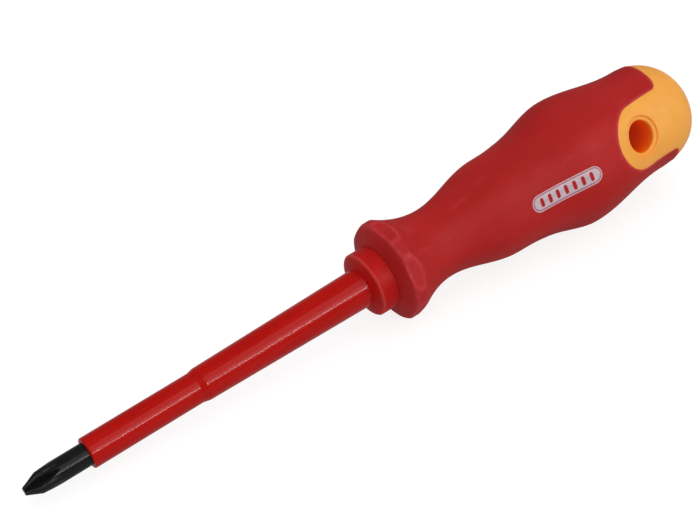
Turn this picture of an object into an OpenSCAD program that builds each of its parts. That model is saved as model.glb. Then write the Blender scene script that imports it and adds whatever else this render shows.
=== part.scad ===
// Insulated cross-point screwdriver with a two-colour moulded handle.
//
// Frame: the origin is the point of the blade, +X runs back along the tool's axis to the
// end of the handle, and +Z is up when the tool lies on one flat of its hexagonal flange.
// The hanging hole points up and to the side, square to another pair of flats.

/* [Blade] */
// Diameter of the round steel shank
blade_d = 6; // [5.5:0.1:6.5]
// Length of bare steel in front of the insulation
bare_length = 17; // [14:0.5:18]
// Distance from the point to the front of the handle
blade_length = 99.5; // [92:0.5:110]
// Diameter of the flat at the very point
point_d = 2.1; // [1.8:0.1:2.5]
// Angle between the point's cone and the axis
point_angle = 26.5; // [25:0.5:28]
// Diameter of the core left between the flutes at the point
flute_core_d = 1.3; // [1:0.1:1.6]
// Radius of the cutter wheel that mills each flute
flute_cutter_r = 24; // [20:1:30]
// Full angle of the flute's V
flute_angle = 92; // [88:1:96]
// Width across a pair of anchor wings forged on the hidden end
anchor_width = 10; // [9:0.5:11]
// Thickness of an anchor wing
anchor_thickness = 2; // [1.5:0.25:2.5]
// Length of the anchor wings
anchor_length = 22; // [15:1:28]

/* [Insulation] */
// Outer diameter of the thin inner sleeve
inner_sleeve_d = 8.1; // [7.6:0.1:8.3]
// Where the thick outer sleeve starts, from the point
step_x = 48; // [40:1:60]
// Diameter of the outer sleeve behind its front chamfer
outer_front_d = 8.9; // [8.6:0.1:9.4]
// Diameter of the outer sleeve where it enters the handle
outer_rear_d = 10.4; // [9.6:0.1:11]
// How far both sleeves run on inside the handle
sleeve_depth = 16; // [10:1:18]

/* [Handle] */
// Overall length of the tool
overall_length = 208; // [207:0.5:212]
// Diameter of the small collar in front of the flange
collar_d = 17.4; // [16:0.2:18.4]
// Length of the collar's round wall
collar_length = 4.7; // [4:0.1:5]
// Diameter over the flange's rounded corners
flange_d = 27.6; // [27:0.2:29]
// Size across the flange's flats
flange_flats = 26; // [25:0.2:26.6]
// Length of the flange's band behind its front edge
flange_band = 2.5; // [1.5:0.1:3.5]
// Diameter of the neck behind the flange
neck_d = 19.6; // [18:0.2:21]
// Diameter of the front bulge
bulge_d = 27.6; // [25:0.2:29]
// Diameter of the belly
belly_d = 36.2; // [33:0.2:38]
// Diameter of the waist in front of the dome
waist_d = 29.9; // [28.5:0.1:30.5]
// How square the rounded end is; 2 makes it a plain ellipse
dome_power = 2.2; // [2:0.1:2.6]
// Diameter of the hard core under the grip
core_d = 14.4; // [13.6:0.2:15]

/* [Hanging hole and lobes] */
// Diameter of the hanging hole
hole_d = 8.7; // [8:0.1:9]
// Diameter of the shallow recess around each mouth of the hole
hole_rim_d = 10.9; // [10:0.1:11.4]
// Depth of that recess
mouth_depth = 0.6; // [0.3:0.1:1]
// Distance from the hole's axis to the end of the handle
hole_from_end = 24.5; // [23:0.5:26]
// Half the width of the yellow lobe around the hole
lobe_r = 8.8; // [8:0.1:9.4]
// Thickness of the hard shell over the core at the waist
shell_t = 3.2; // [2.6:0.1:3.8]
// Thickness of the shell's lining of the hole, where it runs through the core
lining_t = 1.5; // [1.2:0.1:1.8]

/* [Hidden] */
$fn = 96;
big = 60; // reaches past the whole handle from its axis
over = 1; // how far a cutting shape runs past what it cuts

// Stations along the axis
handle_x = blade_length;
flange_front_x = handle_x + collar_length;
flange_x = flange_front_x + 2.3; // behind the flange's rounded front edge
flare_x = flange_x + flange_band; // where the flange starts to fall away to the neck
neck_x = handle_x + 22.5; // thinnest place of the neck
bulge_x = handle_x + 43.5; // top of the front bulge
belly_x = overall_length - 39.5; // thickest place of the handle
waist_x = overall_length - 15; // where the dome starts
hole_x = overall_length - hole_from_end;
tip_x = waist_x + 3.4; // end of a red finger beside the lobe
tail_x = hole_x - 14.5; // where the core widens into its tail
core_tail_x = overall_length - 5; // back of the core's tail, under the shell's dome
sleeve_end_x = handle_x + sleeve_depth;
anchor_x = sleeve_end_x + 8; // front of the anchor wings
shank_end_x = anchor_x + anchor_length + 12; // hidden end of the shank
nose_step = 1.3; // how far the collar's face slopes forward to meet the sleeve
flute_turn = 37.5; // how far the first flute is turned from straight up

// Red fingers beside the lobe
finger_corner_r = 3; // radius of the inner corner at a finger's tip
finger_lean = 17; // how far a finger's end leans back from that corner, in degrees
finger_w = 8; // how far from the lobe the leaning end runs

// Turns the Z axis of a revolved or extruded shape onto the tool's axis
module along_axis() { rotate([0, 90, 0]) children(); }

// Turns the Z axis onto the hole's axis, with X left along the tool
module across_handle() { rotate([60, 0, 0]) children(); }

// Revolves an outline whose points are [station, radius] around the tool's axis
module turned(outline) {
    along_axis() rotate_extrude() polygon([for (p = outline) [p[1], p[0]]]);
}

// The same points the other way round
function reversed(list) = [for (i = [len(list) - 1 : -1 : 0]) list[i]];

// A half wave from one station and radius to the next; lean moves its steep part back
function wave(a, b, steps, lean = 1) = [
    for (i = [0 : steps - 1])
        let (t = i / steps)
        [a[0] + t * (b[0] - a[0]), a[1] + (b[1] - a[1]) * (0.5 - 0.5 * cos(180 * pow(t, lean)))]
];

// The flare from the flange's rim down to the neck
function flare(a, b, steps) = [
    for (i = [0 : steps - 1])
        let (t = i / steps)
        [a[0] + t * (b[0] - a[0]), b[1] + (a[1] - b[1]) * pow(1 - t, 2)]
];

// A quarter of a squarish ellipse that closes the handle's end, stopping on the axis
function dome(x, r, end_x, steps) = [
    for (i = [0 : steps])
        let (a = 90 * i / steps)
        [x + (end_x - x) * pow(sin(a), 2 / dome_power), r * pow(cos(a), 2 / dome_power)]
];

flange_foot = 0.2; // how far the flange's front stands out of the collar before it slopes back

// The handle's outer line behind the collar, less a skin of thickness t
function handle_line(t) = [
    for (p = concat(
        [[flange_front_x, collar_d / 2 + flange_foot]],
        [[flange_x, flange_d / 2]],
        flare([flare_x, flange_d / 2], [neck_x, neck_d / 2], 8),
        wave([neck_x, neck_d / 2], [bulge_x, bulge_d / 2], 8),
        wave([bulge_x, bulge_d / 2], [belly_x, belly_d / 2], 12, 1.45),
        wave([belly_x, belly_d / 2], [waist_x, waist_d / 2], 12, 0.95),
        dome(waist_x, waist_d / 2, overall_length, 14)))
    [p[0], max(0, p[1] - t)]
];

// A solid handle, hexagonal only at its flange
module handle_body() {
    difference() {
        turned(concat([[flange_front_x, 0]], handle_line(0)));
        difference() {
            along_axis() translate([0, 0, flange_front_x - over])
                cylinder(d = flange_d + 2 * over, h = neck_x - flange_front_x);
            along_axis() rotate([0, 0, 30]) translate([0, 0, flange_front_x - 2 * over])
                cylinder(d = flange_flats / cos(30), h = neck_x - flange_front_x + 2 * over, $fn = 6);
        }
    }
}

// Outline of the yellow area seen along the hole: a round lobe, then the fingers' tips
finger_end_x = tip_x + (finger_w - finger_corner_r) * tan(finger_lean);
function lobe_half(side) = concat(
    [for (a = [180 : -10 : 90]) [hole_x + lobe_r * cos(a), side * lobe_r * sin(a)]],
    [for (a = [0 : 15 : 75])
        [tip_x - finger_corner_r * (1 - sin(a)), side * (lobe_r + finger_corner_r * (1 - cos(a)))]],
    [[finger_end_x, side * (lobe_r + finger_w)], [finger_end_x, side * big]]
);

// Everything behind and between the red fingers, as a prism along the hole
module yellow_zone() {
    across_handle()
        linear_extrude(height = 2 * big, center = true)
            polygon(concat(lobe_half(1), [[overall_length + big, big], [overall_length + big, -big]],
                reversed(lobe_half(-1))));
}

// Round steel rod, from a flat anchor inside the handle to the cross point
module blade_solid() {
    point_length = (blade_d - point_d) / 2 / tan(point_angle);
    bevel = 1; // of the shank's hidden end
    turned([[0, 0], [0, point_d / 2], [point_length, blade_d / 2],
        [shank_end_x - bevel, blade_d / 2], [shank_end_x, blade_d / 2 - bevel], [shank_end_x, 0]]);
    slope = 3; // length of each wing's sloping ends
    wing = [[0, blade_d / 4], [slope, anchor_width / 2],
        [anchor_length - slope, anchor_width / 2], [anchor_length, blade_d / 4]];
    for (turn = [0, 90])
        rotate([turn, 0, 0])
            translate([anchor_x, 0, 0])
                linear_extrude(height = anchor_thickness, center = true)
                    polygon(concat(wing, reversed([for (p = wing) [p[0], -p[1]]])));
}

// One milled flute: a V-edged wheel whose rim comes closest to the axis at the point
module flute(turn) {
    rim = flute_cutter_r;
    bevel = 5; // depth of the wheel's V edge
    lead = 1; // how far in front of the point the wheel's centre stands
    rotate([turn, 0, 0])
        translate([-lead, 0, rim + flute_core_d / 2])
            rotate([90, 0, 0])
                rotate_extrude()
                    polygon([[rim, 0], [rim - bevel, bevel * tan(flute_angle / 2)],
                        [rim - bevel, -bevel * tan(flute_angle / 2)]]);
}

module blade() {
    color([0.09, 0.09, 0.1])
        difference() {
            blade_solid();
            for (i = [0 : 3])
                flute(flute_turn + 90 * i);
        }
}

module inner_sleeve() {
    bevel = 0.35; // of the sleeve's front edge
    color([0.69, 0.07, 0.05])
        turned([[bare_length, blade_d / 2], [bare_length, inner_sleeve_d / 2 - bevel],
            [bare_length + bevel, inner_sleeve_d / 2], [sleeve_end_x, inner_sleeve_d / 2],
            [sleeve_end_x, blade_d / 2]]);
}

module outer_sleeve() {
    slope = 1.6; // length of the sleeve's sloping front
    color([0.69, 0.07, 0.05])
        turned([[step_x, inner_sleeve_d / 2], [step_x + slope, outer_front_d / 2],
            [handle_x - nose_step, outer_rear_d / 2], [sleeve_end_x, outer_rear_d / 2],
            [sleeve_end_x, inner_sleeve_d / 2]]);
}

// A round bar along the hanging hole, square to the tool's axis
module across_hole(d) {
    translate([hole_x, 0, 0])
        across_handle()
            cylinder(d = d, h = 2 * big, center = true);
}

// Outline of the core from the flange's front to its tail, with grooves that lock the rubber
tail_r = waist_d / 2 - shell_t;
tail_rise = 4; // length of the tail's sloping front
tail_taper = 5.5; // length of the sloping end of the tail, inside the dome
grooves = 5;
groove_x = neck_x + 4; // start of the first groove
groove_w = 4; // length of a groove along the axis
groove_depth = 0.8; // also the length of each sloping side
groove_pitch = 8;
core_line = concat(
    [for (i = [0 : grooves - 1])
        let (x = groove_x + i * groove_pitch)
        each [[x, core_d / 2], [x + groove_depth, core_d / 2 - groove_depth],
            [x + groove_w - groove_depth, core_d / 2 - groove_depth], [x + groove_w, core_d / 2]]],
    [[tail_x, core_d / 2], [tail_x + tail_rise, tail_r], [core_tail_x - tail_taper, tail_r],
        [core_tail_x, tail_r - tail_taper], [core_tail_x, 0]]);

// Everything that the core fills behind the flange's front
module core_space() {
    turned(concat([[flange_front_x - over, 0], [flange_front_x - over, core_d / 2]], core_line));
}

// Hard core: the collar in front, a grooved shaft under the grip, and a tail around the hole
module handle_core() {
    face_x = handle_x - nose_step;
    edge = 0.15; // half the length of the crisp chamfer on the collar's rim
    edge_drop = 0.25; // how far that chamfer falls
    color([0.66, 0.09, 0.09])
        difference() {
            turned(concat(
                [[face_x, 0], [face_x, outer_rear_d / 2], [handle_x - edge, collar_d / 2 - edge_drop],
                    [handle_x + edge, collar_d / 2], [flange_front_x, collar_d / 2],
                    [flange_front_x, core_d / 2]],
                core_line));
            turned([[face_x - over, 0], [face_x - over, outer_rear_d / 2],
                [sleeve_end_x, outer_rear_d / 2], [sleeve_end_x, 0]]);
            blade_solid();
            across_hole(hole_d + 2 * lining_t);
        }
}

// A shallow recess around each mouth of the hole, with its floor parallel to the surface
module hole_mouths() {
    difference() {
        across_hole(hole_rim_d);
        turned(concat([[flange_front_x, 0]], handle_line(mouth_depth)));
    }
}

// Hard shell over the core's tail, which also lines the hole right through the core
module end_shell() {
    color([0.93, 0.66, 0.3])
        difference() {
            intersection() {
                handle_body();
                yellow_zone();
            }
            difference() {
                core_space();
                across_hole(hole_d + 2 * lining_t);
            }
            across_hole(hole_d);
            hole_mouths();
        }
}

module soft_grip() {
    color([0.67, 0.14, 0.14])
        difference() {
            handle_body();
            yellow_zone();
            core_space();
        }
}

blade();
inner_sleeve();
outer_sleeve();
handle_core();
soft_grip();
end_shell();
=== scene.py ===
"""Insulated cross-point screwdriver: its looks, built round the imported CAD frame.

Everything is in the shared frame: the point of the blade is the origin, +X runs back along
the tool's axis, and +Z is up. Shapes are worked out in millimetres and scaled in Shape.build().
Angles round the axis are counted from the hanging hole, so the hole is at 0 and 180 degrees,
the flats of the soft hexagon are at 0, 60 and so on, and its corners lie between them.
"""

import math

import bmesh
import bpy
import numpy as np
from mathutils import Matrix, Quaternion, Vector


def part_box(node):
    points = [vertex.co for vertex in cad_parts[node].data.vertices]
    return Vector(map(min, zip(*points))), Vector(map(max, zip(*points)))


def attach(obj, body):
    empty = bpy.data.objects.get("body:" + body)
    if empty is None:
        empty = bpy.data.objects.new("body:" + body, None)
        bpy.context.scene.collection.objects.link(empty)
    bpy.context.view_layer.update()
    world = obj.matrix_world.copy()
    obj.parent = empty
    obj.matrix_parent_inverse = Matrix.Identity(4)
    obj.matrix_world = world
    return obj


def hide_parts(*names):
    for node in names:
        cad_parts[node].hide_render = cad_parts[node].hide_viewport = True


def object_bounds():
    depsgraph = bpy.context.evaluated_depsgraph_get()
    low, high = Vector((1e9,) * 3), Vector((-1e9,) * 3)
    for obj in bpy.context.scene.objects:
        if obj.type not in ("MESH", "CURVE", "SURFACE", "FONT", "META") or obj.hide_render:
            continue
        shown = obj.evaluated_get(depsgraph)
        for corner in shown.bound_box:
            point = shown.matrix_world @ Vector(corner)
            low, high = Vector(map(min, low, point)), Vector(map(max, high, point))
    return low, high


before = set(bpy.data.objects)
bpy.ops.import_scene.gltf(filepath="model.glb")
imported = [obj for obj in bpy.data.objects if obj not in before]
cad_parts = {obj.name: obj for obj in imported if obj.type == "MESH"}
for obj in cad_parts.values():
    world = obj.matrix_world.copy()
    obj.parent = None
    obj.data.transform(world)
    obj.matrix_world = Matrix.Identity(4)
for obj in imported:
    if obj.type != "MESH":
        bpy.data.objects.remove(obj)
cad_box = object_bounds()

MM = 0.001
HOLE_ANGLE = math.radians(150)  # direction of the hanging hole, from +Y towards +Z
AXIS_WAY = np.array([1.0, 0, 0])
HOLE_WAY = np.array([0, math.cos(HOLE_ANGLE), math.sin(HOLE_ANGLE)])
SIDE_WAY = np.array([0, -math.sin(HOLE_ANGLE), math.cos(HOLE_ANGLE)])

# ---------------------------------------------------------------- sizes, in millimetres

LENGTH = cad_box[1].x / MM
BARE_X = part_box("inner_sleeve")[0].x / MM
SLEEVE_END_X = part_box("inner_sleeve")[1].x / MM
STEP_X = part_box("outer_sleeve")[0].x / MM
FACE_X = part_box("handle_core")[0].x / MM
GRIP_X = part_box("soft_grip")[0].x / MM
SHANK_END_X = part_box("blade")[1].x / MM
BELLY_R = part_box("soft_grip")[1].y / MM
RIM_X = GRIP_X + 2.3
FLARE_X = RIM_X + 2.5
NECK_X = GRIP_X + 17.8
BULGE_X = NECK_X + 21
BELLY_X = LENGTH - 39.5
WAIST_X = LENGTH - 15
HOLE_X = LENGTH - 24.5
TAIL_X = HOLE_X - 14.5
TAIL_END_X = LENGTH - 5

RIM_EDGE_X = FACE_X + 1.3  # the collar's front rim

BLADE_R = 3.0
POINT_R = 1.05
POINT_ANGLE = math.radians(26.5)
FLUTE_CORE_R = 0.65
FLUTE_CUTTER_R = 24.0
FLUTE_HALF_ANGLE = math.radians(46)
FLUTE_TURN = math.radians(-22.5)  # the first flute, from the hanging hole
ANCHOR_X = SLEEVE_END_X + 8
ANCHOR_LENGTH = 22.0
ANCHOR_HALF_WIDTH = 5.0
ANCHOR_HALF_THICKNESS = 1.0
INNER_SLEEVE_R = 4.05
OUTER_FRONT_R = 4.45
OUTER_REAR_R = 5.2
COLLAR_R = 8.7
RIM_R = 13.8
FLANGE_FLAT_R = 13.0
NECK_R = 9.8
BULGE_R = 13.8
WAIST_R = 14.95
CORE_R = 7.2
TAIL_R = 11.75
HOLE_R = 4.35
MOUTH_R = 5.45
MOUTH_DEPTH = 0.6
LINING_R = 5.85
LOBE_R = 8.8
TIP_X = WAIST_X + 3.4
TIP_CORNER_R = 3.0
FINGER_LEAN = 17  # degrees that a finger's end slopes back

QUARTER = 64  # mesh columns in a quarter turn of the handle


# ---------------------------------------------------------------- outlines


def wave(start, end, lean=1.0, steps=200):
    """Half a wave between two [station, radius] points; lean moves its steep part back."""
    t = np.linspace(0, 1, steps, endpoint=False)
    rise = 0.5 - 0.5 * np.cos(np.pi * t**lean)
    return np.stack([start[0] + t * (end[0] - start[0]), start[1] + rise * (end[1] - start[1])], 1)


def flare(start, end, steps=200):
    """The hollow curve from the flange's rim down to the neck."""
    t = np.linspace(0, 1, steps, endpoint=False)
    return np.stack([start[0] + t * (end[0] - start[0]), end[1] + (start[1] - end[1]) * (1 - t) ** 2], 1)


def dome(x, r, end_x, steps=400):
    """A squarish quarter ellipse that closes the handle's end on the axis."""
    power = 2 / 2.2
    t = np.linspace(0, np.pi / 2, steps + 1)
    return np.stack([x + (end_x - x) * np.sin(t) ** power, r * np.maximum(0, np.cos(t)) ** power], 1)


def arc(centre, radius, start, end, steps=6):
    """Points of an arc, from one angle to another in degrees."""
    t = np.radians(np.linspace(start, end, steps + 1))
    return np.stack([centre[0] + radius * np.cos(t), centre[1] + radius * np.sin(t)], 1)


def rounded(points, radii, steps=5):
    """An outline with each corner replaced by an arc; radii has one for each point, 0 where it stays."""
    points = [np.array(p, float) for p in points]
    out = [points[0]]
    for a, p, b, radius in zip(points, points[1:], points[2:], radii[1:]):
        if radius == 0:
            out.append(p)
            continue
        u, v = (a - p) / np.linalg.norm(a - p), (b - p) / np.linalg.norm(b - p)
        half = math.acos(u @ v) / 2
        centre = p + (u + v) / np.linalg.norm(u + v) * radius / math.sin(half)
        first, last = (p + w * radius / math.tan(half) - centre for w in (u, v))
        for k in range(steps + 1):
            mix = first * (1 - k / steps) + last * k / steps
            out.append(centre + mix / np.linalg.norm(mix) * radius)
    out.append(points[-1])
    return np.array(out)


def outer_line():
    """The rubber's and the shell's outline, as [station, radius], from the collar to the end."""
    hollow = flare([FLARE_X, RIM_R], [NECK_X, NECK_R])
    start = 20  # where the flare goes on behind the rounded rims
    corners = [[GRIP_X, COLLAR_R + 0.2], [RIM_X, RIM_R], [FLARE_X, RIM_R], hollow[start]]
    rim = rounded(corners, [0, 1.1, 0.9, 0])
    return np.concatenate([
        rim[:-1], hollow[start:],
        wave([NECK_X, NECK_R], [BULGE_X, BULGE_R]),
        wave([BULGE_X, BULGE_R], [BELLY_X, BELLY_R], 1.45),
        wave([BELLY_X, BELLY_R], [WAIST_X, WAIST_R], 0.95),
        dome(WAIST_X, WAIST_R, LENGTH),
    ])


def tail_line():
    """The hard core's outline under the rubber and the shell."""
    rise = 4  # length of the tail's sloping front
    slope = 5.5  # length and height of its sloping end
    return np.array([[GRIP_X, CORE_R], [TAIL_X, CORE_R], [TAIL_X + rise, TAIL_R],
                     [TAIL_END_X - slope, TAIL_R], [TAIL_END_X, TAIL_R - slope], [TAIL_END_X, 0]])


def place(x, r, angle):
    """Points from station, radius and angle from the hole."""
    x, r, angle = np.broadcast_arrays(x, r, angle)
    ring = np.cos(angle)[..., None] * HOLE_WAY + np.sin(angle)[..., None] * SIDE_WAY
    return AXIS_WAY * x[..., None] + r[..., None] * ring


def unit(vectors):
    return vectors / np.linalg.norm(vectors, axis=-1, keepdims=True)


class Skin:
    """A surface round the axis that follows an outline, with flats pressed into it if it is hexagonal."""

    def __init__(self, line, hexagonal=False):
        self.x, self.r = line[:, 0], line[:, 1]
        self.hexagonal = hexagonal
        self.run = np.concatenate([[0], np.cumsum(np.linalg.norm(np.diff(line, axis=0), axis=1))])

    def press(self, x, r, angle):
        """The radius at an angle where the outline has radius r, and how near a flange edge is."""
        if not self.hexagonal:
            return r + 0 * angle, 0 * angle
        stations = [GRIP_X, NECK_X, BULGE_X, BULGE_X + 8, BULGE_X + 14, BELLY_X, WAIST_X, LENGTH - 4]
        dip = np.interp(x, stations, [0, 0.35, 0.4, 0.1, 0.4, 0.8, 0.5, 0])
        r = r - dip * (0.5 + 0.5 * np.cos(6 * angle))
        soft = 0.55  # width over which a flange's flat is blended in
        flat = FLANGE_FLAT_R / np.cos((angle + np.pi / 6) % (np.pi / 3) - np.pi / 6)
        h = np.clip(0.5 + 0.5 * (flat - r) / soft, 0, 1)
        cut = flat + (r - flat) * h - soft * h * (1 - h)
        near = x < NECK_X
        return np.where(near, cut, r), np.where(near, 4 * h * (1 - h), 0)

    def radius(self, x, angle):
        return self.press(x, np.interp(x, self.x, self.r), angle)[0]

    def at(self, x, angle):
        """The surface point at a station and an angle."""
        return place(x, self.radius(x, angle), angle)

    def along(self, run, angle):
        """The surface point at a distance along the outline, and how near a flange edge is."""
        x = np.interp(run, self.run, self.x)
        r, edge = self.press(x, np.interp(run, self.run, self.r), angle)
        return place(x, r, angle), edge

    def run_at(self, x):
        return np.interp(x, self.x, self.run)

    def normal(self, x, angle):
        step = 1e-3
        over = self.at(x + step, angle) - self.at(x - step, angle)
        around = self.at(x, angle + step) - self.at(x, angle - step)
        return unit(np.cross(around, over))

    def sideways(self, x, side):
        """The angle at which the surface lies side millimetres off the plane through axis and hole."""
        angle = np.zeros(np.broadcast(x, side).shape)
        for _ in range(12):
            angle = np.arcsin(np.clip(side / self.radius(x, angle), -1, 1))
        return angle


OUTER = Skin(outer_line(), hexagonal=True)
TAIL = Skin(tail_line())


def polar(points):
    """Station and angle from the hole of each point."""
    return points[..., 0], np.arctan2(points @ SIDE_WAY, points @ HOLE_WAY)


# ---------------------------------------------------------------- meshes


def grid_faces(rows, columns, start=0, close_rows=False, close_columns=True):
    """Quads of a grid of vertices numbered row by row from start."""
    down, across = np.arange(rows - (not close_rows)), np.arange(columns - (not close_columns))
    i, j = np.meshgrid(down, across, indexing="ij")
    k, m = (i + 1) % rows, (j + 1) % columns
    corners = [i * columns + j, i * columns + m, k * columns + m, k * columns + j]
    return (np.stack(corners, -1) + start).reshape(-1, 4)


class Shape:
    """Collects grids of vertices in millimetres, to be welded into one closed mesh."""

    def __init__(self):
        self.points, self.faces, self.wear_and_painted_light, self.count = [], [], [], 0

    def grid(self, grid, wear_and_painted_light=None, close_rows=False, close_columns=True):
        rows, columns = grid.shape[:2]
        self.faces += grid_faces(rows, columns, self.count, close_rows, close_columns).tolist()
        self.points.append(grid.reshape(-1, 3))
        self.wear_and_painted_light.append(np.broadcast_to(0.0 if wear_and_painted_light is None else wear_and_painted_light, grid.shape[:2]).ravel())
        self.count += rows * columns
        return self

    def fan(self, ring, centre):
        """A round of triangles from a ring of points to one point."""
        n = len(ring)
        self.faces += [[self.count + j, self.count + (j + 1) % n, self.count + n] for j in range(n)]
        self.points.append(np.vstack([ring, centre]))
        self.wear_and_painted_light.append(np.zeros(n + 1))
        self.count += n + 1
        return self

    def build(self, name, material, sharp=35):
        """Makes the object: welds what meets, turns the faces outwards and smooths them."""
        mesh = bpy.data.meshes.new(name)
        mesh.from_pydata((np.concatenate(self.points) * MM).tolist(), [], self.faces)
        # a per-vertex mask for the materials: wear on the blade, wear and painted highlight on the grip,
        # painted shade and the red core's colour in the shell
        wear_and_painted_light = mesh.attributes.new("wear_and_painted_light", "FLOAT", "POINT")
        wear_and_painted_light.data.foreach_set("value", np.concatenate(self.wear_and_painted_light).astype(np.float32))
        bm = bmesh.new()
        bm.from_mesh(mesh)
        bmesh.ops.remove_doubles(bm, verts=bm.verts, dist=1e-6)
        bmesh.ops.recalc_face_normals(bm, faces=bm.faces)
        bm.to_mesh(mesh)
        bm.free()
        mesh.polygons.foreach_set("use_smooth", [True] * len(mesh.polygons))
        mesh.set_sharp_from_angle(angle=math.radians(sharp))
        mesh.materials.append(material)
        piece = bpy.data.objects.new(name, mesh)
        bpy.context.scene.collection.objects.link(piece)
        return piece


def revolve(line, columns=144):
    """A closed [station, radius] outline turned round the axis."""
    angle = np.linspace(0, 2 * np.pi, columns, endpoint=False)
    line = np.asarray(line)
    return place(line[:, :1], line[:, 1:], angle[None])


def refined(line, longest):
    """An outline with points added so that no step is longer than longest."""
    out = [line[0]]
    for a, b in zip(line, line[1:]):
        n = max(1, math.ceil(np.linalg.norm(b - a) / longest))
        out += [a + (b - a) * k / n for k in range(1, n + 1)]
    return np.array(out)


# ---------------------------------------------------------------- the seam between red and yellow


def seam_quarter():
    """Station and angle along a quarter of the seam: round the lobe, along it, and over a finger."""
    corner = TIP_X - TIP_CORNER_R
    flat = np.concatenate([
        arc([HOLE_X, 0], LOBE_R, 180, 90, 60),
        np.stack([np.linspace(HOLE_X, corner, 40), np.full(40, LOBE_R)], 1)[1:],
        arc([corner, LOBE_R + TIP_CORNER_R], TIP_CORNER_R, -90, -FINGER_LEAN, 20)[1:],
    ])
    angle = OUTER.sideways(flat[:, 0], flat[:, 1])
    last = np.linspace(angle[-1], np.pi / 2, 60)[1:]
    lean = math.tan(math.radians(FINGER_LEAN))
    x = np.full(len(last), flat[-1, 0])
    for _ in range(8):
        x = flat[-1, 0] + lean * (OUTER.radius(x, last) * np.sin(last) - flat[-1, 1])
    curve = np.stack([np.append(flat[:, 0], x), np.append(angle, last)], 1)
    points = OUTER.at(curve[:, 0], curve[:, 1])
    run = np.append(0, np.cumsum(np.linalg.norm(np.diff(points, axis=0), axis=1)))
    even = np.linspace(0, run[-1], QUARTER + 1)
    return np.stack([np.interp(even, run, curve[:, 0]), np.interp(even, run, curve[:, 1])], 1)


def full_turn(quarter):
    """Mirrors columns of station and angle from one quarter into a whole turn."""
    x, angle = quarter[..., 0], quarter[..., 1]
    back = slice(-2, None, -1)
    xs = [x, x[..., back], x[..., 1:], x[..., -2:0:-1]]
    angles = [angle, np.pi - angle[..., back], np.pi + angle[..., 1:], 2 * np.pi - angle[..., -2:0:-1]]
    return np.stack([np.concatenate(xs, -1), np.concatenate(angles, -1)], -1)


SEAM = full_turn(seam_quarter())
SEAM_POINTS = OUTER.at(SEAM[:, 0], SEAM[:, 1])
SEAM_NORMALS = OUTER.normal(SEAM[:, 0], SEAM[:, 1])
SEAM_WAYS = unit(np.roll(SEAM_POINTS, -1, 0) - np.roll(SEAM_POINTS, 1, 0))
TO_SHELL = unit(np.cross(SEAM_NORMALS, SEAM_WAYS))


def beside_seam(distance, height):
    """A row of points at a distance from the seam, positive on the yellow side, and over the skin."""
    x, angle = polar(SEAM_POINTS + TO_SHELL * distance)
    return OUTER.at(x, angle) + SEAM_NORMALS * height


def seam_edge(side, raised, radius, reach):
    """Rows from the skin down over the rounded edge to the core; side is 1 for yellow, -1 for red."""
    gap = 0.01
    rows = [beside_seam(side * reach * t, raised * (1 - t) ** 2) for t in (1, 0.7, 0.45)]
    for a in np.radians(np.linspace(0, 90, 6)):
        out, down = radius * (1 - math.sin(a)), radius * (1 - math.cos(a))
        rows.append(beside_seam(side * (gap + out), raised - down))
    rows.append(beside_seam(side * gap, raised - radius - 0.3))
    rows.append(TAIL.at(SEAM[:, 0], SEAM[:, 1]))
    return np.array(rows)


# ---------------------------------------------------------------- rubber grip


def relaxed(grid, times=300):
    """Evens out a quarter's grid of station and arc length between its first and last rows."""
    width = grid[0, -1, 1]
    flip = np.array([1, -1])
    for _ in range(times):
        left = np.concatenate([grid[:, 1:2] * flip, grid[:, :-1]], 1)
        right = np.concatenate([grid[:, 1:], grid[:, -2:-1] * flip + [0, 2 * width]], 1)
        grid[1:-1] = (grid[:-2] + grid[2:] + left[1:-1] + right[1:-1]) / 4
    return grid


def grip_front(end_x, even):
    """Rows from the collar to a station, and how pale the flange's edges are: partly wear, partly painted
    highlight, and painted highlight alone on the band behind the rim.
    """
    stops = [0, OUTER.run_at(RIM_X + 4), OUTER.run_at(NECK_X), OUTER.run_at(end_x)]
    runs = [np.arange(a, b, step) for a, b, step in zip(stops, stops[1:], (0.24, 0.4, 0.85))]
    runs = np.concatenate(runs)[:, None]
    rows, edge = OUTER.along(runs, even)
    station = np.interp(runs, OUTER.run, OUTER.x)
    # paler along the flange's ridge and its flats' edges as wear and painted highlight, and on the band
    # behind the ridge as painted highlight
    rim = np.exp(-(((station - RIM_X) / 0.45) ** 2))
    band_highlight = np.interp(station, [RIM_X, RIM_X + 0.5, FLARE_X, FLARE_X + 3], [0, 0.2, 0.2, 0])
    return rows, np.maximum(0.8 * edge**2, np.maximum(rim, band_highlight))


def grip_fan(start_x, reach):
    """Station and angle of the rows that fan out from a station to a line beside the seam."""
    arm = 15.0  # turns angles into lengths on the flattened skin
    x, angle = polar(beside_seam(-reach, 0)[: QUARTER + 1])
    first = np.stack([np.full(QUARTER + 1, start_x), np.linspace(0, np.pi / 2, QUARTER + 1) * arm], 1)
    last = np.stack([x, angle * arm], 1)
    last[0, 1], last[-1, 1] = 0, first[-1, 1]
    t = np.linspace(0, 1, 34)[:, None, None]
    fan = relaxed(first * (1 - t) + last * t)
    fan[..., 1] /= arm
    return full_turn(fan[:-1])


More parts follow.
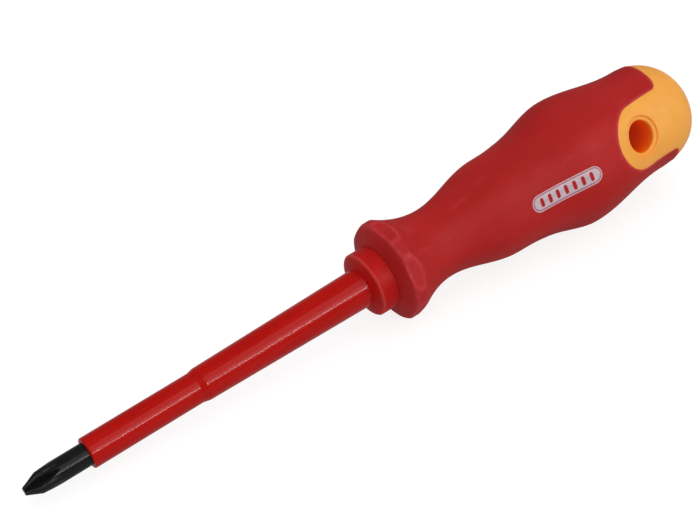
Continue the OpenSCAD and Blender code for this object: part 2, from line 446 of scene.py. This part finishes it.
def rubber_grip(material):
    start_x = BELLY_X - 8.5  # where the even columns start to fan out
    reach = 1.3  # from the fan's end to the seam
    even = np.linspace(0, 2 * np.pi, 4 * QUARTER, endpoint=False)[None]
    front, edge = grip_front(start_x, even)
    fan = grip_fan(start_x, reach)
    seam = seam_edge(-1, 0.12, 0.2, reach)
    # paler over the rubber's edge at the seam: partly wear, partly painted highlight
    seam_wear_and_highlight = 2 * np.array([0, 0.1, 0.3, 0.6, 0.9, 1, 1, 1, 1, 0, 0])[:, None]  # twice the flange's
    inside = fan[::-6]
    bore = TAIL.at(np.array([[NECK_X + 18], [NECK_X], [GRIP_X]]), even)
    inner = np.concatenate([TAIL.at(inside[..., 0], inside[..., 1]), bore])
    rows = [front, OUTER.at(fan[..., 0], fan[..., 1]), seam, inner]
    wear_and_highlight_masks = [edge, np.zeros((len(fan), 1)), seam_wear_and_highlight, np.zeros((len(inner), 1))]
    wear_and_painted_light = np.concatenate([np.broadcast_to(w, r.shape[:2]) for w, r in zip(wear_and_highlight_masks, rows)])
    return Shape().grid(np.concatenate(rows), wear_and_painted_light, close_rows=True).build("rubber_grip", material)


# ---------------------------------------------------------------- yellow end shell


ROOT_COLUMN = int(np.argmax(SEAM[:QUARTER, 0] > WAIST_X - 1.5))  # where a lobe joins the cap
ACROSS_ROOT = 1 - 2 * np.linspace(0, 1, 28)[1:-1]  # from one side of a lobe's root to the other


def half_turned(points):
    """The same points on the other side of the axis."""
    return points * [1, -1, -1]


def across_hole(spots):
    """Points on the plane through the tool's axis, from spots counted from the hole's middle."""
    return AXIS_WAY * (HOLE_X + spots[:, :1]) + SIDE_WAY * spots[:, 1:]


def lobe_root(line):
    """Points across a lobe's root, on the skin and on the core; line is the shell's edge on the skin."""
    x, angle = polar(line[ROOT_COLUMN])
    side = OUTER.radius(x, angle) * math.sin(angle)
    seam_x, seam_angle = SEAM[ROOT_COLUMN]
    return OUTER.at(x, OUTER.sideways(x, side * ACROSS_ROOT)), TAIL.at(seam_x, seam_angle * ACROSS_ROOT)


def lobe_face(outline, flat, turn):
    """Rings from a lobe's outline to its recess, and down the bore, with how orange each one is: painted
    shade on the recess's wall and foot and over the bore's edge, the red core's colour down the bore.
    """
    mouth, foot, lip = 0.45, 0.3, 0.6  # radii of the recess's rim, of its foot, and of the bore's edge
    spare = 0.15  # skin between the lobe's rings and the recess's rim
    profile = np.concatenate([
        [[MOUTH_R + mouth, 0]],
        arc([MOUTH_R + mouth, -mouth], mouth, 90, 165)[1:],
        arc([MOUTH_R - foot, foot - MOUTH_DEPTH], foot, -20, -90, 4),
        arc([HOLE_R + lip, -MOUTH_DEPTH - lip], lip, 90, 180),
        [[HOLE_R, -MOUTH_DEPTH - 2 * lip]],
    ])
    inwards = np.linspace(0, 1, 9)[1:]
    steps = [(flat * (1 - k) + turn * (MOUTH_R + mouth + spare) * k, 0) for k in inwards]
    steps += [(turn * r, height) for r, height in profile]
    rings = [outline]
    for spot, height in steps:
        x = HOLE_X + spot[:, 0]
        rings.append(OUTER.at(x, OUTER.sideways(x, spot[:, 1])) + HOLE_WAY * height)
    last, middle = rings[-1], across_hole(turn * HOLE_R)
    rings += [last * (1 - k) + middle * k for k in (0.1, 0.25, 0.45, 0.65, 0.85, 1)]
    deep = np.zeros((len(rings), 1))
    # the orange on the recess's wall and foot is painted shade
    deep[11:20] = 0.25  # the recess's wall and foot
    # over the bore's edge the orange is painted shade, and down the bore it is the red core's colour
    deep[-11:, 0] = [0.1, 0.3, 0.5, 0.7, 0.85, 1, 1, 1, 1, 1, 1]  # the bore's edge, and down the bore
    return np.array(rings), deep


def lobe_back(foot, turn):
    """Rings from a lobe's foot over the core, and down the outside of the hole's lining."""
    lining = turn * LINING_R
    end = across_hole(lining)
    rim = end + HOLE_WAY * np.sqrt(TAIL_R**2 - lining[:, 1:] ** 2)
    foot_x, foot_angle = polar(foot)
    rim_x, rim_angle = polar(rim)
    rings = [foot]
    for k in (0.35, 0.7):
        rings.append(TAIL.at(foot_x + (rim_x - foot_x) * k, foot_angle + (rim_angle - foot_angle) * k))
    return np.array(rings + [rim, (rim + end) / 2, end])


def cap_rings(skin, start, rows):
    """Rings over a skin from the first one to a small round one about the pole."""
    pole_r = 0.8
    x, angle = polar(start)
    left = skin.run[-1] - skin.run_at(x)
    spot = left[:, None] * np.stack([np.cos(angle), np.sin(angle)], 1)
    even = angle[0] + np.linspace(0, 2 * np.pi, len(start), endpoint=False)
    goal = pole_r * np.stack([np.cos(even), np.sin(even)], 1)
    rings = [start]
    for k in np.linspace(0, 1, rows)[1:]:
        mix = spot * (1 - k) + goal * k
        run = skin.run[-1] - np.linalg.norm(mix, axis=1)
        rings.append(skin.along(run, np.arctan2(mix[:, 1], mix[:, 0]))[0])
    return np.array(rings)


def end_shell(material):
    """The dome and its two lobes, with the hanging hole through them, closed against the core."""
    edge = seam_edge(1, 0.0, 0.06, 1.0)
    shape = Shape().grid(edge)
    outer_root, inner_root = lobe_root(edge[0])
    near = np.arange(-ROOT_COLUMN, ROOT_COLUMN + 1)  # the seam's columns round a lobe
    outline = np.concatenate([edge[0][near], outer_root])
    x, angle = polar(outline)
    flat = np.stack([x - HOLE_X, OUTER.radius(x, angle) * np.sin(angle)], 1)
    turn = unit(flat)
    face, deep = lobe_face(outline, flat, turn)
    back = lobe_back(np.concatenate([edge[-1][near], inner_root]), turn)
    for rings, orange in ((face, deep), (back, None)):
        shape.grid(rings, orange).grid(half_turned(rings), orange)

    flank = np.arange(ROOT_COLUMN, 2 * QUARTER - ROOT_COLUMN + 1)  # the columns between two lobes
    for skin, line, root, rows in ((OUTER, edge[0], outer_root, 26), (TAIL, edge[-1], inner_root, 8)):
        half = np.concatenate([line[flank], half_turned(root[::-1])])
        rings = cap_rings(skin, np.concatenate([half, half_turned(half)]), rows)
        shape.grid(rings).fan(rings[-1], AXIS_WAY * skin.x[-1])
    return shape.build("end_shell_moulding", material)


# ---------------------------------------------------------------- blade


def soft_min(a, b, soft):
    h = np.clip(0.5 + 0.5 * (b - a) / soft, 0, 1)
    return b + (a - b) * h - soft * h * (1 - h)


def point_radii(x, off):
    """Radii of the rod and cone, and of the same less four V flutes; off is the angle from a flute."""
    ahead = 1.0  # how far the flute cutter's centre lies in front of the point
    cone = soft_min(POINT_R + x * math.tan(POINT_ANGLE), BLADE_R + 0 * x, 0.15)
    cutter = np.sqrt(np.maximum(0, FLUTE_CUTTER_R**2 - (x + ahead) ** 2))
    floor = FLUTE_CUTTER_R + FLUTE_CORE_R - cutter
    spread = np.cos(off) - np.abs(np.sin(off)) / math.tan(FLUTE_HALF_ANGLE)
    return cone, soft_min(floor / spread, cone, 0.09)


def winged(r, x, angle, wing_x):
    """The radius with the anchor's four wings added; wing_x is where their ends' slopes lie."""
    stations = [wing_x[0] - 0.1, *wing_x, wing_x[-1] + 0.1]
    width = np.interp(x, stations, [0, 0.5, 1, 1, 0.5, 0])
    for way in (0, np.pi / 2):
        wing = angle + HOLE_ANGLE + way
        bar = np.minimum(ANCHOR_HALF_WIDTH / np.maximum(1e-6, np.abs(np.cos(wing))),
                         ANCHOR_HALF_THICKNESS / np.maximum(1e-6, np.abs(np.sin(wing))))
        wing_r = np.minimum(bar, BLADE_R + (ANCHOR_HALF_WIDTH - BLADE_R) * width)
        r = np.where(width > 0, np.maximum(r, wing_r), r)
    return r


def blade(material):
    """The point and shank, with anchor wings on the hidden end, in rings from front to back."""
    columns = 240
    nose = 0.12  # rounding of the point's rim
    flutes_end = 10.5  # the flutes have run out before this station
    ramp = 3.0  # length of an anchor wing's sloping end
    chamfer = 1.0  # on the shank's end
    worn_length = 9.0
    angle = np.linspace(0, 2 * np.pi, columns, endpoint=False)[None]
    off = (angle - FLUTE_TURN + np.pi / 4) % (np.pi / 2) - np.pi / 4
    turn = np.radians(np.linspace(0, 90, 6))
    wing_x = ANCHOR_X + np.array([0, ramp, ANCHOR_LENGTH - ramp, ANCHOR_LENGTH])
    x = np.concatenate([
        [0, 0, 0], nose * (1 - np.cos(turn)), np.arange(0.3, flutes_end, 0.14),
        np.arange(11, SLEEVE_END_X, 2.5), [wing_x[0] - 1, *wing_x, wing_x[-1] + 1],
        [SHANK_END_X - chamfer, SHANK_END_X, SHANK_END_X],
    ])
    shrink = np.zeros(len(x))
    shrink[3:9] = nose * (1 - np.sin(turn))
    x, shrink = x[:, None], shrink[:, None]
    cone, fluted = point_radii(x, off)
    r = winged(np.where(x < flutes_end, fluted, BLADE_R), x, angle, wing_x) - shrink
    r[:3] = r[3] * np.array([0.25, 0.55, 0.85])[:, None]  # rings in the blunt end
    r[-2] -= chamfer
    r[-1] = 0.5  # a ring in the shank's end face
    edge = np.abs(np.abs(off) - np.radians(30)) < np.radians(5)
    wear_and_painted_light = np.where((x < worn_length) & (r > 0.9 * cone) & edge, 1.0, 0.0)
    rows = place(x, r, angle)
    shape = Shape().grid(rows, wear_and_painted_light)
    shape.fan(rows[0], AXIS_WAY * 0).fan(rows[-1], AXIS_WAY * SHANK_END_X)
    return shape.build("cross_point_blade", material)


# ---------------------------------------------------------------- sleeves


def inner_sleeve(material):
    line = rounded([[SLEEVE_END_X, BLADE_R + 0.02], [BARE_X, BLADE_R + 0.02], [BARE_X, INNER_SLEEVE_R],
                    [STEP_X, INNER_SLEEVE_R], [SLEEVE_END_X, INNER_SLEEVE_R]], [0, 0.12, 0.42, 0, 0], 6)
    shape = Shape().grid(revolve(refined(line, 1.5)), close_rows=True)
    return shape.build("thin_sleeve", material)


def outer_sleeve(material):
    bore_r = INNER_SLEEVE_R + 0.01
    lip = [STEP_X + 0.1, bore_r + 0.06]  # the thin front edge, before the slope
    line = rounded([[SLEEVE_END_X, bore_r], [STEP_X, bore_r], lip, [STEP_X + 1.6, OUTER_FRONT_R],
                    [FACE_X, OUTER_REAR_R], [SLEEVE_END_X, OUTER_REAR_R]], [0, 0, 0.08, 1.2, 0, 0], 6)
    shape = Shape().grid(revolve(refined(line, 1.5)), close_rows=True)
    return shape.build("thick_sleeve", material)


# ---------------------------------------------------------------- label


LABEL_MIDDLE = np.array([BELLY_X - 12.4, 1.55])  # station, and distance to the side of the hole's plane
LABEL_HALF_LENGTH = 10.4
LABEL_HALF_WIDTH = 2.35


def stadium(half_width, straight=LABEL_HALF_LENGTH - LABEL_HALF_WIDTH, columns=96):
    """Points round a pill, straight being half the length between its round ends."""
    right = arc([straight, 0], half_width, -90, 90, 20)
    left = arc([-straight, 0], half_width, 90, 270, 20)
    closed = np.vstack([right, left, right[:1]])
    run = np.append(0, np.cumsum(np.linalg.norm(np.diff(closed, axis=0), axis=1)))
    even = np.linspace(0, run[-1], columns, endpoint=False)
    return np.stack([np.interp(even, run, closed[:, 0]), np.interp(even, run, closed[:, 1])], 1)


def on_skin(flat, height):
    """Puts points of the label's own plane on the handle's skin, at a height over it."""
    spot = flat + LABEL_MIDDLE
    angle = OUTER.sideways(spot[:, 0], spot[:, 1])
    return OUTER.at(spot[:, 0], angle) + OUTER.normal(spot[:, 0], angle) * height


def film(lines, top, bottom):
    """Rows over the outlines at one height over the skin, and back over them at another."""
    over = [on_skin(line, top) for line in lines]
    under = [on_skin(line, bottom) for line in lines[::-1]]
    return np.array(over + under)


def label(material):
    """A thin printed pill: a border line, and a blank field inside it."""
    top, bottom = 0.03, -0.05
    shape = Shape()
    for outer, inner in ((LABEL_HALF_WIDTH, LABEL_HALF_WIDTH - 0.3), (LABEL_HALF_WIDTH - 0.5, 0)):
        widths = np.linspace(outer, inner, 5)
        lines = [stadium(w) for w in widths]
        shape.grid(film(lines, top, bottom), close_rows=True)
    return shape.build("label_print", material, sharp=180)


def label_bars(material):
    """A plain row of bars across the label's field, where the rubber shows through the print."""
    top, bottom = 0.05, -0.03
    shape = Shape()
    for middle in np.linspace(-7.4, 7.4, 7):
        lines = [stadium(w, 0.75, 32)[:, ::-1] * [1, -1] + [middle, 0] for w in np.linspace(0.5, 0, 4)]
        shape.grid(film(lines, top, bottom), close_rows=True)
    return shape.build("label_bars", material, sharp=180)


# ---------------------------------------------------------------- materials


class Nodes:
    """Short calls for the nodes of one material."""

    def __init__(self, name):
        self.material = bpy.data.materials.new(name)
        self.material.use_nodes = True
        self.tree = self.material.node_tree
        self.shader = self.tree.nodes["Principled BSDF"]
        self.place = self.add("ShaderNodeTexCoord").outputs["Object"]

    def add(self, kind, inputs=None, **settings):
        node = self.tree.nodes.new(kind)
        for key, value in settings.items():
            setattr(node, key, value)
        for key, value in (inputs or {}).items():
            if isinstance(value, bpy.types.NodeSocket):
                self.tree.links.new(value, node.inputs[key])
            else:
                node.inputs[key].default_value = value
        return node

    def set(self, **values):
        """Sets the shader's sockets; underscores stand for spaces."""
        for key, value in values.items():
            socket = self.shader.inputs[key.replace("_", " ")]
            if isinstance(value, bpy.types.NodeSocket):
                self.tree.links.new(value, socket)
            else:
                socket.default_value = value

    def noise(self, grain_mm, detail=3.0, stretch=1.0, roughness=0.55):
        """Noise whose grain is so many millimetres across, stretched along the tool."""
        scaled = self.add("ShaderNodeMapping", {"Vector": self.place, "Scale": (1 / stretch, 1, 1)})
        inputs = {"Vector": scaled.outputs["Vector"], "Scale": 1 / (grain_mm * MM), "Detail": detail,
                  "Roughness": roughness}
        return self.add("ShaderNodeTexNoise", inputs).outputs["Fac"]

    def spread(self, value, low, high, start, end):
        """Maps the part of value between low and high onto start to end."""
        inputs = {"Value": value, "From Min": low, "From Max": high, "To Min": start, "To Max": end}
        return self.add("ShaderNodeMapRange", inputs, clamp=True).outputs["Result"]

    def mix(self, factor, a, b):
        node = self.add("ShaderNodeMix", data_type="RGBA")
        for socket, value in zip([node.inputs[0], node.inputs[6], node.inputs[7]], [factor, a, b]):
            if isinstance(value, bpy.types.NodeSocket):
                self.tree.links.new(value, socket)
            elif socket == node.inputs[0]:
                socket.default_value = value
            else:
                socket.default_value = (*value, 1)
        return node.outputs[2]

    def times(self, a, b):
        return self.add("ShaderNodeMath", {0: a, 1: b}, operation="MULTIPLY").outputs[0]

    def plus(self, a, b):
        return self.add("ShaderNodeMath", {0: a, 1: b}, operation="ADD").outputs[0]

    # The per-vertex mask: wear on the blade, wear and painted highlight on the grip's edges, painted
    # shade and the red core's colour in the shell's hole.
    def wear_and_painted_light(self):
        return self.add("ShaderNodeAttribute", attribute_name="wear_and_painted_light").outputs["Fac"]

    def bump(self, height, depth_mm, below=None):
        inputs = {"Height": height, "Distance": depth_mm * MM, "Strength": 1.0}
        if below is not None:
            inputs["Normal"] = below
        return self.add("ShaderNodeBump", inputs).outputs["Normal"]


def rubber_material():
    n = Nodes("grip_rubber")
    cloud = n.spread(n.noise(11, 2, 2.5), 0.35, 0.65, 0, 1)
    colour = n.mix(cloud, (0.350, 0.0044, 0.0040), (0.400, 0.0070, 0.0066))
    scuff = n.spread(n.noise(3.2, 4, 3), 0.6, 0.74, 0, 0.22)
    colour = n.mix(scuff, colour, (0.50, 0.035, 0.042))
    # paler on the flange's edges and along the seam as partly wear, partly painted highlight, and on the
    # flange's band as painted highlight
    edge = n.times(n.wear_and_painted_light(), n.spread(n.noise(1.5, 3), 0.3, 0.6, 0.2, 0.55))
    colour = n.mix(edge, colour, (0.56, 0.05, 0.06))
    grain = n.noise(0.28, 2)
    streaks = n.noise(0.9, 2, 14)
    rough = n.spread(n.plus(n.times(grain, 0.5), n.times(streaks, 0.5)), 0.35, 0.65, 0.56, 0.70)
    normal = n.bump(grain, 0.018, n.bump(n.noise(4, 2, 2), 0.06))
    n.set(Base_Color=colour, Roughness=rough, Normal=normal, Specular_IOR_Level=0.19)
    return n.material


def core_material():
    n = Nodes("core_plastic")
    cloud = n.spread(n.noise(5, 3), 0.35, 0.65, 0, 1)
    colour = n.mix(cloud, (0.385, 0.0028, 0.0026), (0.43, 0.0048, 0.0042))
    # a painted highlight in a thin line along the collar's front rim
    along = n.add("ShaderNodeSeparateXYZ", {"Vector": n.place}).outputs["X"]
    past_rim = n.plus(along, -RIM_EDGE_X * MM)
    from_rim = n.add("ShaderNodeMath", {0: past_rim}, operation="ABSOLUTE").outputs[0]
    colour = n.mix(n.spread(from_rim, 0.1 * MM, 0.4 * MM, 0.7, 0), colour, (0.56, 0.05, 0.045))
    grain = n.noise(0.22, 2)
    n.set(Base_Color=colour, Roughness=n.spread(grain, 0.3, 0.7, 0.4, 0.52), Normal=n.bump(grain, 0.012),
          Specular_IOR_Level=0.1)
    return n.material


def sleeve_material():
    n = Nodes("sleeve_plastic")
    cloud = n.spread(n.noise(4, 3, 6), 0.35, 0.65, 0, 1)
    colour = n.mix(cloud, (0.375, 0.0018, 0.0004), (0.415, 0.0032, 0.0010))
    draw = n.noise(0.35, 3, 30)
    peel = n.noise(1.1, 2, 1.5)
    rough = n.spread(draw, 0.3, 0.7, 0.13, 0.18)
    n.set(Base_Color=colour, Roughness=rough, Normal=n.bump(draw, 0.002, n.bump(peel, 0.010)),
          Specular_IOR_Level=0.2)
    return n.material


def shell_material():
    n = Nodes("shell_plastic")
    cloud = n.spread(n.noise(7, 3), 0.35, 0.65, 0, 1)
    colour = n.mix(cloud, (0.77, 0.320, 0.044), (0.82, 0.355, 0.056))
    # deep orange where the mask says: painted shade on the recess's wall and the bore's edge, and the red
    # core's colour down the bore
    colour = n.mix(n.wear_and_painted_light(), colour, (0.97, 0.165, 0.006))
    grain = n.noise(0.25, 2)
    rough = n.spread(n.noise(2.5, 4), 0.35, 0.65, 0.4, 0.52)
    n.set(Base_Color=colour, Roughness=rough, Normal=n.bump(grain, 0.012, n.bump(n.noise(5, 2), 0.04)),
          Specular_IOR_Level=0.24)
    return n.material


def steel_material():
    n = Nodes("blade_steel")
    brush = n.noise(0.12, 3, 18)
    cloud = n.spread(n.noise(1.6, 4), 0.35, 0.65, 0, 1)
    colour = n.mix(cloud, (0.005, 0.005, 0.0054), (0.008, 0.008, 0.0086))
    rubbed = n.times(n.wear_and_painted_light(), n.spread(n.noise(0.7, 3), 0.4, 0.6, 0.1, 0.8))
    colour = n.mix(rubbed, colour, (0.045, 0.045, 0.047))
    rough = n.spread(brush, 0.3, 0.7, 0.17, 0.25)
    n.set(Base_Color=colour, Roughness=rough, Normal=n.bump(brush, 0.005), Specular_IOR_Level=0.2)
    return n.material


def label_material():
    n = Nodes("label_print")
    speck = n.spread(n.noise(0.4, 3), 0.55, 0.75, 0, 0.35)
    colour = n.mix(n.spread(n.noise(3, 3), 0.35, 0.65, 0, 1), (0.46, 0.34, 0.39), (0.53, 0.39, 0.44))
    colour = n.mix(speck, colour, (0.46, 0.2, 0.24))
    n.set(Base_Color=colour, Roughness=n.spread(n.noise(0.3, 2), 0.3, 0.7, 0.45, 0.6),
          Normal=n.bump(n.noise(0.28, 2), 0.01))
    return n.material


def floor_material():
    n = Nodes("studio_floor")
    path = n.add("ShaderNodeLightPath").outputs
    level = n.spread(path["Is Camera Ray"], 0, 1, 0.42, 0.83)
    level = n.plus(level, n.times(path["Is Glossy Ray"], -0.19))
    n.set(Base_Color=(0.22, 0.22, 0.22, 1), Roughness=0.9, Specular_IOR_Level=0.1,
          Emission_Color=(1, 1, 1, 1), Emission_Strength=level)
    return n.material


# ---------------------------------------------------------------- the tool


def ride_as(piece, node):
    """The piece rides on the tool, and stands for a CAD node if one is given."""
    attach(piece, "root")
    if node:
        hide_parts(node)


def build_tool():
    sleeves = sleeve_material()
    ride_as(blade(steel_material()), "blade")
    ride_as(inner_sleeve(sleeves), "inner_sleeve")
    ride_as(outer_sleeve(sleeves), "outer_sleeve")
    rubber = rubber_material()
    ride_as(rubber_grip(rubber), "soft_grip")
    ride_as(end_shell(shell_material()), "end_shell")
    ride_as(label(label_material()), None)
    ride_as(label_bars(rubber), None)
    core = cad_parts["handle_core"]
    core_skin = core_material()
    for part in core.material_slots:
        part.material = core_skin


# ---------------------------------------------------------------- camera, floor and light

AIM = Vector((99.4, 5.03, 4.61)) * MM
AZIMUTH, ELEVATION, ROLL = (math.radians(a) for a in (-30.385, 42.295, 9.361))
DISTANCE = 431.4 * MM
LENS_MM = 87.43


def from_aim(azimuth, elevation, distance):
    """A point at a distance from the aim; azimuth 0 is on the -Y side."""
    flat = math.cos(elevation)
    way = Vector((math.sin(azimuth) * flat, -math.cos(azimuth) * flat, math.sin(elevation)))
    return AIM + distance * way


def add_camera():
    data = bpy.data.cameras.new("camera")
    data.lens = LENS_MM
    camera = bpy.data.objects.new("camera", data)
    bpy.context.scene.collection.objects.link(camera)
    camera.location = from_aim(AZIMUTH, ELEVATION, DISTANCE)
    look = (AIM - camera.location).to_track_quat("-Z", "Y")
    camera.rotation_mode = "QUATERNION"
    camera.rotation_quaternion = look @ Quaternion((0, 0, 1), -ROLL)
    bpy.context.scene.camera = camera


def add_light(name, azimuth, elevation, distance, size, power, mirrored):
    """A soft panel that either lights the tool or is only mirrored in its smooth parts."""
    data = bpy.data.lights.new(name, "AREA")
    data.shape, data.size, data.size_y, data.energy = "RECTANGLE", size[0], size[1], power
    light = bpy.data.objects.new(name, data)
    bpy.context.scene.collection.objects.link(light)
    light.location = from_aim(math.radians(azimuth), math.radians(elevation), distance)
    light.rotation_mode = "QUATERNION"
    light.rotation_quaternion = (AIM - light.location).to_track_quat("-Z", "Y")
    light.visible_glossy = mirrored
    light.visible_diffuse = not mirrored


def add_floor():
    """A pale plane that the tool lies on, touching its belly and its flange."""
    heel = Vector((BELLY_X, 0, -OUTER.radius(BELLY_X, 2 * np.pi / 3))) * MM
    toe = Vector((RIM_X + 0.6, 0, -FLANGE_FLAT_R)) * MM
    half = 2.5  # metres, from the middle to an edge
    along = half * (heel - toe).normalized()
    across = Vector((0, half, 0))
    corners = [heel - along - across, heel + along - across, heel + along + across, heel - along + across]
    mesh = bpy.data.meshes.new("floor")
    mesh.from_pydata([tuple(c) for c in corners], [], [(0, 1, 2, 3)])
    mesh.materials.append(floor_material())
    floor = bpy.data.objects.new("floor", mesh)
    bpy.context.scene.collection.objects.link(floor)


def add_world():
    """White to the camera, softer as light, and dim in reflections."""
    world = bpy.data.worlds.new("studio")
    world.use_nodes = True
    tree = world.node_tree
    back = tree.nodes["Background"]
    back.inputs["Color"].default_value = (1, 1, 1, 1)
    path = tree.nodes.new("ShaderNodeLightPath").outputs
    level = tree.nodes.new("ShaderNodeMapRange")
    level.inputs["To Min"].default_value = 0.64
    level.inputs["To Max"].default_value = 1.0
    tree.links.new(path["Is Camera Ray"], level.inputs["Value"])
    dim = tree.nodes.new("ShaderNodeMath")
    dim.operation = "MULTIPLY_ADD"
    dim.inputs[1].default_value = -0.44
    tree.links.new(path["Is Glossy Ray"], dim.inputs[0])
    tree.links.new(level.outputs["Result"], dim.inputs[2])
    tree.links.new(dim.outputs[0], back.inputs["Strength"])
    bpy.context.scene.world = world


build_tool()
add_camera()
add_floor()
add_world()
add_light("key", 75, 70, 1.2, (1.2, 1.2), 4.6, False)
add_light("fill", -65, 42, 0.9, (0.6, 0.6), 0.8, False)
add_light("front", 25, 26, 0.9, (0.7, 0.4), 2.2, False)
add_light("halo", 28, 59.5, 0.9, (0.7, 0.5), 1.3, True)
add_light("glow", 28, 37, 0.9, (0.7, 0.28), 1.4, True)
add_light("strip", 21, 28.3, 0.9, (0.7, 0.05), 2.4, True)
bpy.context.scene.view_settings.view_transform = "Standard"
